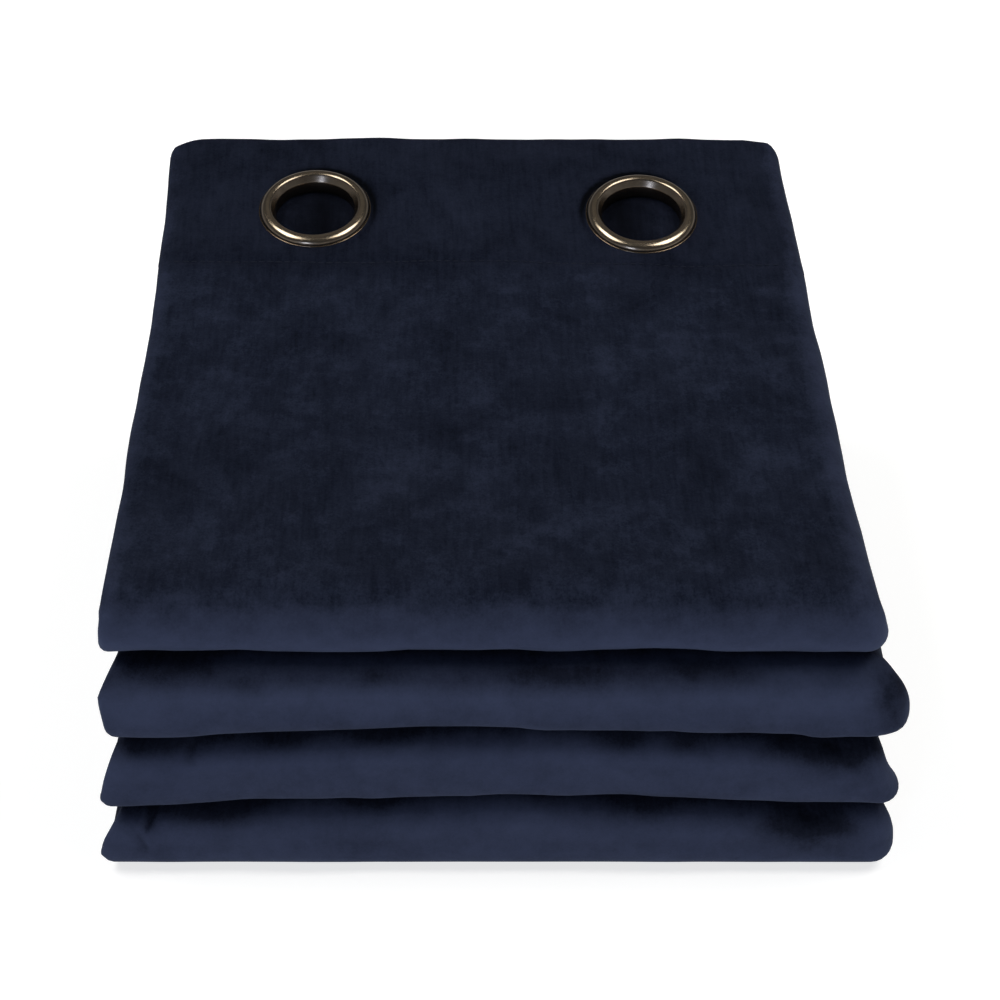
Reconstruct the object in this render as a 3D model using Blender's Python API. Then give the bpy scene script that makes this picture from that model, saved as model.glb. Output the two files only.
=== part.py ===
# A soundproof velvet curtain with an eyelet heading, 1.40 m wide and 2.60 m long, as it lies
# folded. Its two sides are folded to the middle and it is halved there, so four layers lie
# on each other. The four are then folded back and forth along the drop into eight sections,
# with the heading on top at the back and four fat folds at the front.
#
# Sizes are in millimetres and become metres when a mesh is made. X runs across the stack,
# Y runs from its front to its back and Z up. Z = 0 is the surface that it lies on.

import math
from collections import namedtuple

import bpy
import numpy as np

MM = 0.001

# The cloth and its four layers, counted from the outer face of the panel that ends on top
CLOTH = 3.0
LAYER_PITCH = 5.6
OUTER_OFFSET = 1.5 * LAYER_PITCH
INNER_OFFSET = 0.5 * LAYER_PITCH
HALF_STACK = OUTER_OFFSET + CLOTH / 2
HALF_WIDTH = 176.0

# How far the left fold of the top two layers lies inside that of the lower two, and the side
# hems, which end inside the right fold
UPPER_FOLD_INSET = 0.6
HEM_EDGE_INSET = 3.0
SIDE_HEM = 25.0
SIDE_HEM_EXTRA = 0.8

# The heading: a doubled strip along the top edge of the cloth
HEADING_EDGE_Y = 171.0
BAND_DEPTH = 94.0
BAND_FRONT_Y = HEADING_EDGE_Y - BAND_DEPTH
BAND_THICKNESS = 4.0
BAND_LIFT = 1.0
BAND_SIDE_INSET = 14.0
HIDDEN_HEADING_EXTRA = 0.6
CORNER_RADIUS = 13.0
GAP = 0.3
RING_SEAT = 0.45

# The eight sections, top to bottom: the height of the middle of the stack of four layers at
# the front and at the heading's edge, and the reach of its two sides at front and back. The
# left side also draws in between them.
Section = namedtuple("Section", "front_z back_z left_front right_front left_back right_back")
SECTIONS = [
    Section(171.7, 193.5, -180.5, 174.5, -178.0, 155.5),
    Section(148.7, 172.5, -186.0, 181.5, -180.0, 157.0),
    Section(127.7, 139.3, -179.0, 183.0, -179.0, 158.0),
    Section(100.7, 118.3, -183.5, 187.0, -181.0, 161.0),
    Section(79.7, 85.1, -181.0, 183.5, -180.0, 164.0),
    Section(54.7, 64.1, -188.0, 191.0, -182.0, 168.0),
    Section(33.7, 30.9, -184.0, 188.5, -182.0, 172.0),
    Section(HALF_STACK, HALF_STACK, -191.0, 193.5, -185.0, 178.0),
]
LEFT_WAIST = 1.4

# The folds that join them. Reach is the outermost Y of the fold, depth the length of its
# nose along the middle of the stack, fullness 2 for a round nose and more for a boxy one, and
# droop how far its lower half leans out. The flares are how far its two ends stick out
# sideways, most of all at the share flare_at of the way round it from the top.
Fold = namedtuple("Fold", "reach depth fullness droop left_flare right_flare flare_at")
FRONT_FOLDS = [
    Fold(-167.0, 12.5, 2.1, 0.05, 1.2, 2.0, 0.50),
    Fold(-175.0, 14.0, 2.3, 0.16, 6.5, 8.5, 0.37),
    Fold(-175.0, 13.5, 2.3, 0.16, 7.0, 9.5, 0.60),
    Fold(-175.0, 12.5, 2.5, 0.12, 8.5, 5.0, 0.50),
]
BACK_FOLDS = [
    Fold(168.0, 14.0, 2.0, 0.0, 1.5, 1.0, 0.50),
    Fold(174.5, 15.0, 2.1, 0.0, 2.5, 3.0, 0.45),
    Fold(171.0, 14.0, 2.1, 0.0, 3.0, 2.0, 0.55),
]
BOTTOM_HEM_Y = 163.0
RUN_FRONT_Y = -143.0
RISE_POWER = 1.9

# The grooves between the front folds arch up in the middle and hang at the sides
Arch = namedtuple("Arch", "z rise")
GROOVE_ARCH = [Arch(0.0, 0.0), Arch(6.0, 0.0), Arch(44.0, 7.5), Arch(90.0, 8.5), Arch(138.0, 1.5),
               Arch(160.0, 0.0), Arch(300.0, 0.0)]
ARCH_HALF_SPAN = 190.0

# Shallow hollows in the top section, which tip the eyelets a little
Hollow = namedtuple("Hollow", "x y depth spread")
HOLLOWS = [
    Hollow(108.0, 66.0, 4.0, 48.0),
    Hollow(-70.0, 60.0, 1.6, 50.0),
]
HOLLOW_FLOOR_Z = 60.0
HOLLOW_TOP_Z = 190.0

# The eyelets: a crowned front ring with a barrel, and a flat ring that closes it behind
Eyelet = namedtuple("Eyelet", "name x y")
EYELETS = [Eyelet("left", -96.7, 115.7), Eyelet("right", 77.2, 112.9)]
EYELET_RADIUS = 29.75
BORE_RADIUS = 21.1
METAL = 1.0
CROWN = 4.0
BARREL_BELOW_BAND = 2.5
BACK_RING_RADIUS = 29.0
BACK_RING_THICKNESS = 2.0
BACK_RING_ROUNDING = 0.8
HOLE_RADIUS = BORE_RADIUS + METAL + 1.3

# How finely the cloth is divided
FRONT_FOLD_STEPS = 8
BACK_FOLD_STEPS = 5
RIGHT_FOLD_STEPS = 6
SMALL_FOLD_STEPS = 4
RUN_STEPS = 3
LAYER_POINTS = 4
MIDDLE_REACH = 100.0
RING_STEPS = 36
CROWN_STEPS = 8
HOLE_STEPS_A_SIDE = 8
PATCH_RINGS = 3
PATCH_REACH = 40.0

VELVET = ("velvet", (0.010, 0.013, 0.020), 0.85, 0.0)
BRONZE = ("bronze", (0.105, 0.085, 0.065), 0.38, 1.0)


def clear_scene():
    for thing in list(bpy.data.objects):
        bpy.data.objects.remove(thing, do_unlink=True)


def material(name, colour, roughness, metallic):
    made = bpy.data.materials.get(name) or bpy.data.materials.new(name)
    made.use_nodes = True
    shader = made.node_tree.nodes["Principled BSDF"]
    shader.inputs["Base Color"].default_value = (*colour, 1.0)
    shader.inputs["Roughness"].default_value = roughness
    shader.inputs["Metallic"].default_value = metallic
    return made


def add_solid(name, points, faces, finish, sharp_angle=50.0):
    """One closed solid from points in millimetres."""
    mesh = bpy.data.meshes.new(name)
    mesh.from_pydata([tuple(p * MM) for p in np.asarray(points, float)], [], faces)
    mesh.shade_smooth()
    mesh.set_sharp_from_angle(angle=math.radians(sharp_angle))
    mesh.materials.append(material(*finish))
    solid = bpy.data.objects.new(name, mesh)
    bpy.context.scene.collection.objects.link(solid)
    return solid


# The path of the stack along the drop. A station is one line across the stack: the middle of
# the four layers at (y, z), the direction in which the top panel lies from there, the reach
# of the two sides, and how much it is pulled in at the heading's rounded corners.
Station = namedtuple("Station", "y z along_y along_z left right corner")


def run_share(y):
    return min(max((y - RUN_FRONT_Y) / (HEADING_EDGE_Y - RUN_FRONT_Y), 0.0), 1.0)


def run_height(section, y):
    row = SECTIONS[section]
    return row.front_z + (row.back_z - row.front_z) * run_share(y) ** RISE_POWER


def run_sides(section, y):
    row, share = SECTIONS[section], run_share(y)
    waist = LEFT_WAIST * 4 * share * (1 - share)
    return (row.left_front + (row.left_back - row.left_front) * share + waist,
            row.right_front + (row.right_back - row.right_front) * share)


def run_station(section, y):
    facing = 1.0 if section % 2 == 0 else -1.0
    corner = max(0.0, (y - BAND_FRONT_Y) / BAND_DEPTH) if section == 0 else 0.0
    return Station(y, run_height(section, y), 0.0, facing, *run_sides(section, y), corner)


def fold_stations(fold, section, side, steps):
    """The nose that joins a section to the next one down: side -1 at the front, 1 at the back."""
    centre_y = fold_centre(fold, side)
    upper, lower = run_height(section, centre_y), run_height(section + 1, centre_y)
    centre_z, radius = (upper + lower) / 2, (upper - lower) / 2
    sides_above, sides_below = run_sides(section, centre_y), run_sides(section + 1, centre_y)
    skew = math.log(0.5) / math.log(fold.flare_at)
    stations = []
    for step in range(1, steps):
        angle = math.pi / 2 - math.pi * step / steps
        out = math.cos(angle) ** (2 / fold.fullness)
        up = math.copysign(abs(math.sin(angle)) ** (2 / fold.fullness), angle)
        lean = fold.droop * max(0.0, -up) * out
        share = step / steps
        blend = share * share * (3 - 2 * share)
        left, right = (a + (b - a) * blend for a, b in zip(sides_above, sides_below))
        flare = math.sin(math.pi * share ** skew)
        stations.append(Station(
            centre_y + side * (fold.depth * out + lean * radius), centre_z + radius * up,
            -(out + lean), -side * up,
            left - fold.left_flare * flare, right + fold.right_flare * flare, 0.0))
    return stations


def fold_centre(fold, side):
    return fold.reach - side * (fold.depth + HALF_STACK)


def drop_stations():
    """Every station from the heading's edge to the bottom hem."""
    heading = np.linspace(HEADING_EDGE_Y, BAND_FRONT_Y, RUN_STEPS + 1)
    stations = [run_station(0, y) for y in heading[:-1]]
    start_y = BAND_FRONT_Y
    for section in range(len(SECTIONS)):
        at_front = section % 2 == 0
        if section == len(SECTIONS) - 1:
            end_y = BOTTOM_HEM_Y
        else:
            fold = FRONT_FOLDS[section // 2] if at_front else BACK_FOLDS[section // 2]
            end_y = fold_centre(fold, -1 if at_front else 1)
        stations += [run_station(section, y) for y in np.linspace(start_y, end_y, RUN_STEPS + 1)]
        if section < len(SECTIONS) - 1:
            steps = FRONT_FOLD_STEPS if at_front else BACK_FOLD_STEPS
            stations += fold_stations(fold, section, -1 if at_front else 1, steps)
        start_y = end_y
    return stations


def corner_inset(across):
    """How far the heading's edge falls back at its two rounded corners."""
    past = max(0.0, abs(across) - (HALF_WIDTH - CORNER_RADIUS))
    return CORNER_RADIUS - math.sqrt(CORNER_RADIUS ** 2 - min(past, CORNER_RADIUS) ** 2)


def settle(x, y, z):
    """The sag of the whole stack: arched grooves, and hollows in the top section."""
    arch = np.interp(z, [row.z for row in GROOVE_ARCH], [row.rise for row in GROOVE_ARCH])
    sagged = z + arch * (0.5 - (x / ARCH_HALF_SPAN) ** 2)
    weight = min(max((z - HOLLOW_FLOOR_Z) / (HOLLOW_TOP_Z - HOLLOW_FLOOR_Z), 0.0), 1.0)
    for hollow in HOLLOWS:
        distance = (x - hollow.x) ** 2 + (y - hollow.y) ** 2
        sagged -= weight * hollow.depth * math.exp(-distance / (2 * hollow.spread ** 2))
    return np.array([x, y, sagged])


def place(station, across, offset):
    """The point at a distance across the stack and an offset towards the top panel."""
    middle, half = (station.left + station.right) / 2, (station.right - station.left) / 2
    return settle(middle + across / HALF_WIDTH * half,
                  station.y + offset * station.along_y - station.corner * corner_inset(across),
                  station.z + offset * station.along_z)


# The way across the cloth, from one side hem to the other: left on the second layer, round
# the upper left fold, right on top, round the right fold, left on the bottom layer, round the
# lower left fold, and right on the third layer.
Thread = namedtuple("Thread", "across offset normal_across normal_offset hem")
RIGHT_FOLD = HALF_WIDTH - HALF_STACK
LOWER_FOLD = -HALF_WIDTH + INNER_OFFSET + CLOTH / 2
UPPER_FOLD = LOWER_FOLD + UPPER_FOLD_INSET
BAND_RIGHT = RIGHT_FOLD - BAND_SIDE_INSET
BAND_LEFT = UPPER_FOLD + BAND_SIDE_INSET
BAND_BOTTOM = OUTER_OFFSET - CLOTH / 2 + BAND_LIFT
BAND_TOP = BAND_BOTTOM + BAND_THICKNESS


def layer_threads(points, offset, heading_right):
    """Points along one layer, whose right side faces up where it heads to the right."""
    normal = 1.0 if heading_right else -1.0
    return [Thread(a, offset, 0.0, normal, 0.0) for a in points]


def fold_threads(centre, middle, radius, start, steps):
    """A half turn clockwise round a centre, without its two end points."""
    threads = []
    for step in range(1, steps):
        angle = math.radians(start - 180.0 * step / steps)
        away = math.cos(angle), math.sin(angle)
        threads.append(Thread(centre + radius * away[0], middle + radius * away[1], *away, 0.0))
    return threads


def across_threads():
    hem_edge = RIGHT_FOLD - HEM_EDGE_INSET
    rightwards = np.linspace(-MIDDLE_REACH, MIDDLE_REACH, LAYER_POINTS)
    second = [hem_edge, hem_edge - SIDE_HEM, *rightwards[::-1], UPPER_FOLD]
    top = [UPPER_FOLD, BAND_LEFT, *rightwards, BAND_RIGHT, RIGHT_FOLD]
    bottom = np.linspace(RIGHT_FOLD, LOWER_FOLD, LAYER_POINTS)
    third = [*np.linspace(LOWER_FOLD, hem_edge - SIDE_HEM, LAYER_POINTS), hem_edge]
    threads = layer_threads(second, INNER_OFFSET, False)
    threads += fold_threads(UPPER_FOLD, LAYER_PITCH, INNER_OFFSET, -90.0, SMALL_FOLD_STEPS)
    threads += layer_threads(top, OUTER_OFFSET, True)
    threads += fold_threads(RIGHT_FOLD, 0.0, OUTER_OFFSET, 90.0, RIGHT_FOLD_STEPS)
    threads += layer_threads(bottom, -OUTER_OFFSET, False)
    threads += fold_threads(LOWER_FOLD, -LAYER_PITCH, INNER_OFFSET, -90.0, SMALL_FOLD_STEPS)
    threads += layer_threads(third, -INNER_OFFSET, True)
    for end in (0, -1):
        threads[end] = threads[end]._replace(hem=SIDE_HEM_EXTRA)
    return threads


def sheet_faces(rows, columns, used):
    """Quads for both faces of a sheet of grid cells, and for the rim round the used ones."""
    def corner(row, column, wrong_side):
        return (row * columns + column) * 2 + wrong_side

    faces, edges = [], set()
    for row in range(rows - 1):
        for column in range(columns - 1):
            if not used(row, column):
                continue
            ring = [(row, column), (row + 1, column), (row + 1, column + 1), (row, column + 1)]
            faces.append([corner(*c, 0) for c in ring])
            faces.append([corner(*c, 1) for c in reversed(ring)])
            edges.update((ring[i], ring[(i + 1) % 4]) for i in range(4))
    for start, end in sorted(edges):
        if (end, start) not in edges:
            faces.append([corner(*end, 0), corner(*start, 0), corner(*start, 1), corner(*end, 1)])
    return faces


def drop_loose_points(points, faces):
    kept = sorted({index for face in faces for index in face})
    renamed = {old: new for new, old in enumerate(kept)}
    return points[kept], [[renamed[index] for index in face] for face in faces]


def make_curtain():
    """The cloth, all but the top layer's heading, which is the band's place."""
    stations, threads = drop_stations(), across_threads()
    points = []
    for station in stations:
        doubled = HIDDEN_HEADING_EXTRA if station.corner > 0.0 else 0.0
        half = (CLOTH + doubled) / 2
        for thread in threads:
            for shift in (half, -half - thread.hem):
                points.append(place(station, thread.across + shift * thread.normal_across,
                                    thread.offset + shift * thread.normal_offset))

    def used(row, column):
        on_top = min(threads[column].offset, threads[column + 1].offset) > OUTER_OFFSET - GAP
        under_band = BAND_LEFT <= threads[column].across < BAND_RIGHT
        return not (row < RUN_STEPS and on_top and under_band)

    faces = sheet_faces(len(stations), len(threads), used)
    return add_solid("curtain", *drop_loose_points(np.array(points), faces), VELVET)


def patch_outline(left, right, front, back):
    """Points round a rectangle, anticlockwise from its right front corner."""
    steps = np.arange(HOLE_STEPS_A_SIDE) / HOLE_STEPS_A_SIDE
    width, depth = right - left, back - front
    return ([(right, front + depth * s) for s in steps] + [(right - width * s, back) for s in steps]
            + [(left, back - depth * s) for s in steps] + [(left + width * s, front) for s in steps])


def band_plan():
    """The band laid flat: points (across, y) and faces, with a round hole for each eyelet."""
    front, back = BAND_FRONT_Y + GAP, HEADING_EDGE_Y
    points, faces, known = [], [], {}

    def point(across, y):
        key = (round(across, 4), round(y, 4))
        if key not in known:
            known[key] = len(points)
            points.append(key)
        return known[key]

    centres = [eyelet_across(eyelet) for eyelet in EYELETS]
    edges = [BAND_LEFT + GAP] + [c + s * PATCH_REACH for c in centres for s in (-1, 1)]
    edges.append(BAND_RIGHT - GAP)
    rows = np.linspace(front, back, HOLE_STEPS_A_SIDE + 1)
    for a, b in zip(edges[0::2], edges[1::2]):
        for low, high in zip(rows, rows[1:]):
            faces.append([point(a, low), point(b, low), point(b, high), point(a, high)])
    for eyelet, centre, left, right in zip(EYELETS, centres, edges[1::2], edges[2::2]):
        rim = patch_outline(left, right, front, back)
        hole_reach = HOLE_RADIUS / stack_scale(eyelet.y)
        count = len(rim)
        rings = []
        for ring in range(PATCH_RINGS + 1):
            share = ring / PATCH_RINGS
            row = []
            for index, (a, y) in enumerate(rim):
                turn = 2 * math.pi * index / count - math.pi / 4
                hole = (centre + hole_reach * math.cos(turn),
                        eyelet.y + HOLE_RADIUS * math.sin(turn))
                row.append(point(hole[0] + (a - hole[0]) * share, hole[1] + (y - hole[1]) * share))
            rings.append(row)
        for inner, outer in zip(rings, rings[1:]):
            for i in range(count):
                j = (i + 1) % count
                faces.append([inner[i], outer[i], outer[j], inner[j]])
    return points, faces


def make_heading_band():
    """The top layer's heading: a doubled strip with two holes, 0.3 mm off the cloth."""
    plan, tops = band_plan()
    points = []
    for offset in (BAND_TOP, BAND_BOTTOM):
        points += [place(run_station(0, y), across, offset) for across, y in plan]
    below = len(plan)
    faces = list(tops) + [[index + below for index in reversed(face)] for face in tops]
    edges = {(face[i], face[(i + 1) % 4]) for face in tops for i in range(4)}
    faces += [[end, start, start + below, end + below] for start, end in sorted(edges)
              if (end, start) not in edges]
    return add_solid("heading_band", points, faces, VELVET)


def stack_scale(y):
    """How wide the top section lies there for each millimetre of folded cloth."""
    left, right = run_sides(0, y)
    return (right - left) / (2 * HALF_WIDTH)


def eyelet_across(eyelet):
    """The distance across the stack whose point is at the eyelet's X."""
    return (eyelet.x - sum(run_sides(0, eyelet.y)) / 2) / stack_scale(eyelet.y)


def eyelet_frame(eyelet):
    """A frame on the band's highest point under the ring, its last axis square to the cloth,
    and how far the cloth there is from flat."""
    across, reach = eyelet_across(eyelet), EYELET_RADIUS
    centre = place(run_station(0, eyelet.y), across, BAND_TOP)
    right = (place(run_station(0, eyelet.y), across + reach, BAND_TOP)
             - place(run_station(0, eyelet.y), across - reach, BAND_TOP))
    back = (place(run_station(0, eyelet.y + reach), across, BAND_TOP)
            - place(run_station(0, eyelet.y - reach), across, BAND_TOP))
    right /= np.linalg.norm(right)
    up = np.cross(right, back)
    up /= np.linalg.norm(up)
    heights = [0.0]
    for turn in np.linspace(0.0, 2 * math.pi, RING_STEPS):
        for radius in (HOLE_RADIUS, reach):
            rim = place(run_station(0, eyelet.y + radius * math.sin(turn)),
                        across + radius * math.cos(turn), BAND_TOP)
            heights.append((rim - centre) @ up)
    frame = centre + up * max(heights), right, np.cross(up, right), up
    return frame, max(heights) - min(heights)


def turned_ring(name, profile, frame, finish):
    """A closed profile (radius, height) turned once round the eyelet's axis."""
    centre, right, back, up = frame
    points, faces, count = [], [], len(profile)
    for step in range(RING_STEPS):
        turn = 2 * math.pi * step / RING_STEPS
        out = right * math.cos(turn) + back * math.sin(turn)
        points += [centre + out * radius + up * height for radius, height in profile]
    for step in range(RING_STEPS):
        here, there = step * count, (step + 1) % RING_STEPS * count
        for i in range(count):
            j = (i + 1) % count
            faces.append([here + i, there + i, there + j, here + j])
    return add_solid(name, points, faces, finish)


def half_oval(centre, half_width, height, base, start, end, steps):
    """An arch over the ring's width, from one angle to another in degrees."""
    angles = np.radians(np.linspace(start, end, steps + 1))
    return [(centre + half_width * math.cos(a), base + height * math.sin(a)) for a in angles]


def make_eyelet(eyelet):
    """The crowned front ring, hollow below, and the flat ring pressed on its barrel."""
    frame, unevenness = eyelet_frame(eyelet)
    centre, half = (EYELET_RADIUS + BORE_RADIUS) / 2, (EYELET_RADIUS - BORE_RADIUS) / 2
    barrel_end = -(BAND_THICKNESS + BARREL_BELOW_BAND)
    crown = half_oval(centre, half, CROWN, RING_SEAT, 0.0, 180.0, CROWN_STEPS)
    hollow = half_oval(centre, half - METAL, CROWN - METAL, RING_SEAT, 180.0, 0.0, CROWN_STEPS - 2)
    barrel = [(BORE_RADIUS, barrel_end), (BORE_RADIUS + METAL, barrel_end)]
    turned_ring(f"eyelet_front_{eyelet.name}", crown + barrel + hollow, frame, BRONZE)

    top = -(BAND_THICKNESS + unevenness + RING_SEAT)
    bottom = top - BACK_RING_THICKNESS
    inner = BORE_RADIUS + METAL + GAP
    rounded = BACK_RING_ROUNDING
    back_ring = [(inner, top), (inner, bottom + rounded), (inner + rounded, bottom),
                 (BACK_RING_RADIUS - rounded, bottom), (BACK_RING_RADIUS, bottom + rounded),
                 (BACK_RING_RADIUS, top - rounded / 2), (BACK_RING_RADIUS - rounded, top)]
    turned_ring(f"eyelet_back_{eyelet.name}", back_ring, frame, BRONZE)


clear_scene()
make_curtain()
make_heading_band()
for eyelet_row in EYELETS:
    make_eyelet(eyelet_row)
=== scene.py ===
import math
from collections import namedtuple

import bpy
import numpy as np
from mathutils import Matrix, Vector


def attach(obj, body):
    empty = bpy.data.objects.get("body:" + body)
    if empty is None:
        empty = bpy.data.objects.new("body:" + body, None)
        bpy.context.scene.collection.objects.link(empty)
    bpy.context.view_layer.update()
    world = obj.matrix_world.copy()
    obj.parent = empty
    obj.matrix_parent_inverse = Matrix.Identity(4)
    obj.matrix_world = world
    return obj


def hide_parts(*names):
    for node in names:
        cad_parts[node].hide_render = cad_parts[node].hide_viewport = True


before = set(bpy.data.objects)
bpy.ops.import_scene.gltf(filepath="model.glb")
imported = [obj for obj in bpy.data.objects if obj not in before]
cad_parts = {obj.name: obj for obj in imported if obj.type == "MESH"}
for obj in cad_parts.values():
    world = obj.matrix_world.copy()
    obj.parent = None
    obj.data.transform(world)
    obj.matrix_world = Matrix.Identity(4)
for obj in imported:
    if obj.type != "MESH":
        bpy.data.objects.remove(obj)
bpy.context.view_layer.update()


# The folded cloth
# One panel of thick velvet, 1.40 m wide and 2.60 m long. Its sides are folded to the middle, it
# is halved there, and the four layers are folded back and forth into eight sections. The strip
# along its top edge is doubled and stitched down, and the eyelets are set in it.
#
# Sizes here and below are in millimetres, and become metres when a mesh is made.
MM = 0.001
CLOTH = 3.0
LAYER_PITCH = 5.6
OUTER_OFFSET = 1.5 * LAYER_PITCH
INNER_OFFSET = 0.5 * LAYER_PITCH
HALF_STACK = OUTER_OFFSET + CLOTH / 2
HALF_WIDTH = 176.0
UPPER_FOLD_INSET = 0.6
HEM_EDGE_INSET = 3.0
SIDE_HEM_EXTRA = 0.8

HEADING_EDGE_Y = 171.0
SEAM_Y = 77.0
HEADING_CORNER = 13.0
HEADING_LIFT = 2.0
HEADING_UNDER_LIFT = 1.0
HEADING_SIDE_FADE = 14.0
HIDDEN_HEADING_EXTRA = 0.6
SEAM_EASE = 12.0

Section = namedtuple("Section", "front_z back_z left_front right_front left_back right_back")
SECTIONS = [
    Section(171.7, 193.5, -180.5, 174.5, -178.0, 155.5),
    Section(148.7, 172.5, -186.0, 181.5, -180.0, 157.0),
    Section(127.7, 139.3, -179.0, 183.0, -179.0, 158.0),
    Section(100.7, 118.3, -183.5, 187.0, -181.0, 161.0),
    Section(79.7, 85.1, -181.0, 183.5, -180.0, 164.0),
    Section(54.7, 64.1, -188.0, 191.0, -182.0, 168.0),
    Section(33.7, 30.9, -184.0, 188.5, -182.0, 172.0),
    Section(HALF_STACK, HALF_STACK, -191.0, 193.5, -185.0, 178.0),
]
LEFT_WAIST = 1.4

# The nose of each fold: the Y that it reaches, its depth, how square its oval is, how far its
# lower half droops, and how far its two ends stick out, at which share of the way round it
Fold = namedtuple("Fold", "reach depth fullness droop left_flare right_flare left_at right_at")
FRONT_FOLDS = [
    Fold(-167.0, 12.5, 2.1, 0.05, 1.2, 2.0, 0.50, 0.50),
    Fold(-175.0, 14.0, 2.3, 0.16, 7.0, 11.0, 0.33, 0.47),
    Fold(-175.0, 13.5, 2.3, 0.16, 9.0, 6.5, 0.60, 0.66),
    Fold(-175.0, 12.5, 2.5, 0.12, 9.0, 6.5, 0.58, 0.50),
]
BACK_FOLDS = [
    Fold(168.0, 14.0, 2.0, 0.0, 1.5, 1.0, 0.50, 0.50),
    Fold(174.5, 15.0, 2.1, 0.0, 2.5, 3.0, 0.45, 0.45),
    Fold(171.0, 14.0, 2.1, 0.0, 3.0, 2.0, 0.55, 0.55),
]
BOTTOM_HEM_Y = 163.0
RUN_FRONT_Y = -143.0
RISE_POWER = 1.9

# The grooves between the front folds arch up in their middle, and some places rise further
Arch = namedtuple("Arch", "z rise")
GROOVE_ARCH = [Arch(0.0, 0.0), Arch(6.0, 0.0), Arch(44.0, 7.5), Arch(90.0, 8.5), Arch(138.0, 1.5),
               Arch(160.0, 0.0), Arch(300.0, 0.0)]
ARCH_HALF_SPAN = 190.0
Lift = namedtuple("Lift", "x z rise reach_x reach_z")
LIFTS = [
    Lift(0.0, 90.0, 2.6, 400.0, 15.0),
    Lift(45.0, 90.0, 1.4, 50.0, 15.0),
    Lift(192.0, 90.0, 5.0, 26.0, 15.0),
    Lift(8.0, 44.0, 3.2, 30.0, 14.0),
    Lift(192.0, 44.0, 5.0, 26.0, 14.0),
]

# Two hollows in the top sections, which tip the eyelets
Hollow = namedtuple("Hollow", "x y depth spread")
HOLLOWS = [Hollow(108.0, 66.0, 4.0, 48.0), Hollow(-70.0, 60.0, 1.6, 50.0)]
HOLLOW_FLOOR_Z = 60.0
HOLLOW_TOP_Z = 190.0

# Slow waves of the whole stack: how far they move it along an axis, their three wavelengths and
# where they start. The lowest millimetres lie still on the surface.
Wave = namedtuple("Wave", "axis reach length_x length_y length_z start")
WAVES = [
    Wave(2, 0.30, 230.0, 2100.0, 170.0, 0.4),
    Wave(2, 0.20, 107.0, 900.0, 96.0, 2.1),
    Wave(2, 0.10, 53.0, 410.0, 61.0, 4.0),
    Wave(1, 0.55, 197.0, 2900.0, 83.0, 1.2),
    Wave(1, 0.30, 89.0, 2300.0, 47.0, 3.3),
    Wave(0, 0.45, 2700.0, 290.0, 97.0, 0.9),
    Wave(0, 0.25, 2100.0, 131.0, 53.0, 5.2),
]
STILL_Z = 2.0
WAVE_FULL_Z = 22.0

# Shallow unevenness square to the cloth
Ripple = namedtuple("Ripple", "depth length_x length_y length_z start")
RIPPLES = [
    Ripple(0.22, 83.0, 131.0, 60.0, 0.3),
    Ripple(0.17, -59.0, 71.0, 43.0, 1.9),
    Ripple(0.12, 41.0, 47.0, -29.0, 3.7),
    Ripple(0.07, -23.0, 31.0, 19.0, 5.1),
]

# Creases and dents on the front folds, each along a line from one place to another. A place is
# an X and the share of the way round the fold from its top. Below zero a crease is a ridge.
Crease = namedtuple("Crease", "fold x share end_x end_share width depth")
CREASES = [
    Crease(3, -167.5, 0.12, -171.5, 0.32, 2.1, 2.0),
    Crease(3, -173.5, 0.20, -176.0, 0.36, 2.4, -0.9),
    Crease(3, -177.0, 0.36, -173.0, 0.50, 2.2, 0.9),
    Crease(3, -171.0, 0.38, -168.0, 0.60, 2.4, -0.9),
    Crease(2, -145.5, 0.20, -147.5, 0.31, 2.4, 0.9),
    Crease(2, -176.0, 0.18, -174.0, 0.24, 3.0, 0.5),
    Crease(1, -118.0, 0.27, -112.0, 0.33, 3.0, 0.5),
    Crease(1, 186.0, 0.28, 180.0, 0.40, 5.0, 0.9),
    Crease(1, 118.0, 0.24, 124.0, 0.18, 2.2, 0.5),
    Crease(2, 160.0, 0.22, 171.0, 0.34, 4.0, 0.9),
    Crease(2, 183.0, 0.24, 187.0, 0.44, 4.5, 1.3),
    Crease(3, 150.0, 0.26, 172.0, 0.36, 5.0, 0.8),
    Crease(3, 141.0, 0.12, 158.0, 0.24, 4.0, 0.6),
    Crease(1, 20.0, 0.74, 74.0, 0.70, 6.0, -0.9),
    Crease(1, 152.0, 0.70, 176.0, 0.64, 7.0, -1.9),
    Crease(1, -70.0, 0.78, -20.0, 0.80, 9.0, 0.8),
    Crease(0, -40.0, 0.74, 10.0, 0.76, 8.0, 0.8),
    Crease(0, -110.0, 0.72, -70.0, 0.74, 8.0, -0.6),
    Crease(2, -60.0, 0.72, -15.0, 0.76, 8.0, -0.7),
    Crease(2, 60.0, 0.74, 100.0, 0.74, 8.0, 0.7),
]

# How finely the cloth is divided
SEAM_HALF_STRIP = 4.0
PATCH_REACH = 36.0
PATCH_FRONT_Y = 79.0
PATCH_BACK_Y = 151.0
PATCH_STEPS = 16
PATCH_RINGS = 8
HEADING_BACK_STEPS = 6
SEAM_STEPS = 6
TOP_RUN_STEPS = 38
HEADING_REACH_Y = SEAM_Y - 3 * SEAM_EASE
HIDDEN_RUN_STEPS = 15
FRONT_FOLD_STEPS = 24
BACK_FOLD_STEPS = 11
RIGHT_FOLD_STEPS = 12
SMALL_FOLD_STEPS = 7
HIDDEN_LAYER_STEPS = 8
BOTTOM_LAYER_STEPS = 30
LEFT_OF_EYELETS_STEPS = 20
BETWEEN_EYELETS_STEPS = 18
RIGHT_OF_EYELETS_STEPS = 10

# The last column is the angle, in degrees, of the side of each ring where its painted shadow is
# strongest
Eyelet = namedtuple("Eyelet", "name x y dark_side")
EYELETS = [Eyelet("left", -96.7, 115.7, 50.0), Eyelet("right", 77.2, 112.9, 125.0)]
HOLE_RADIUS = 23.4

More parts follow.
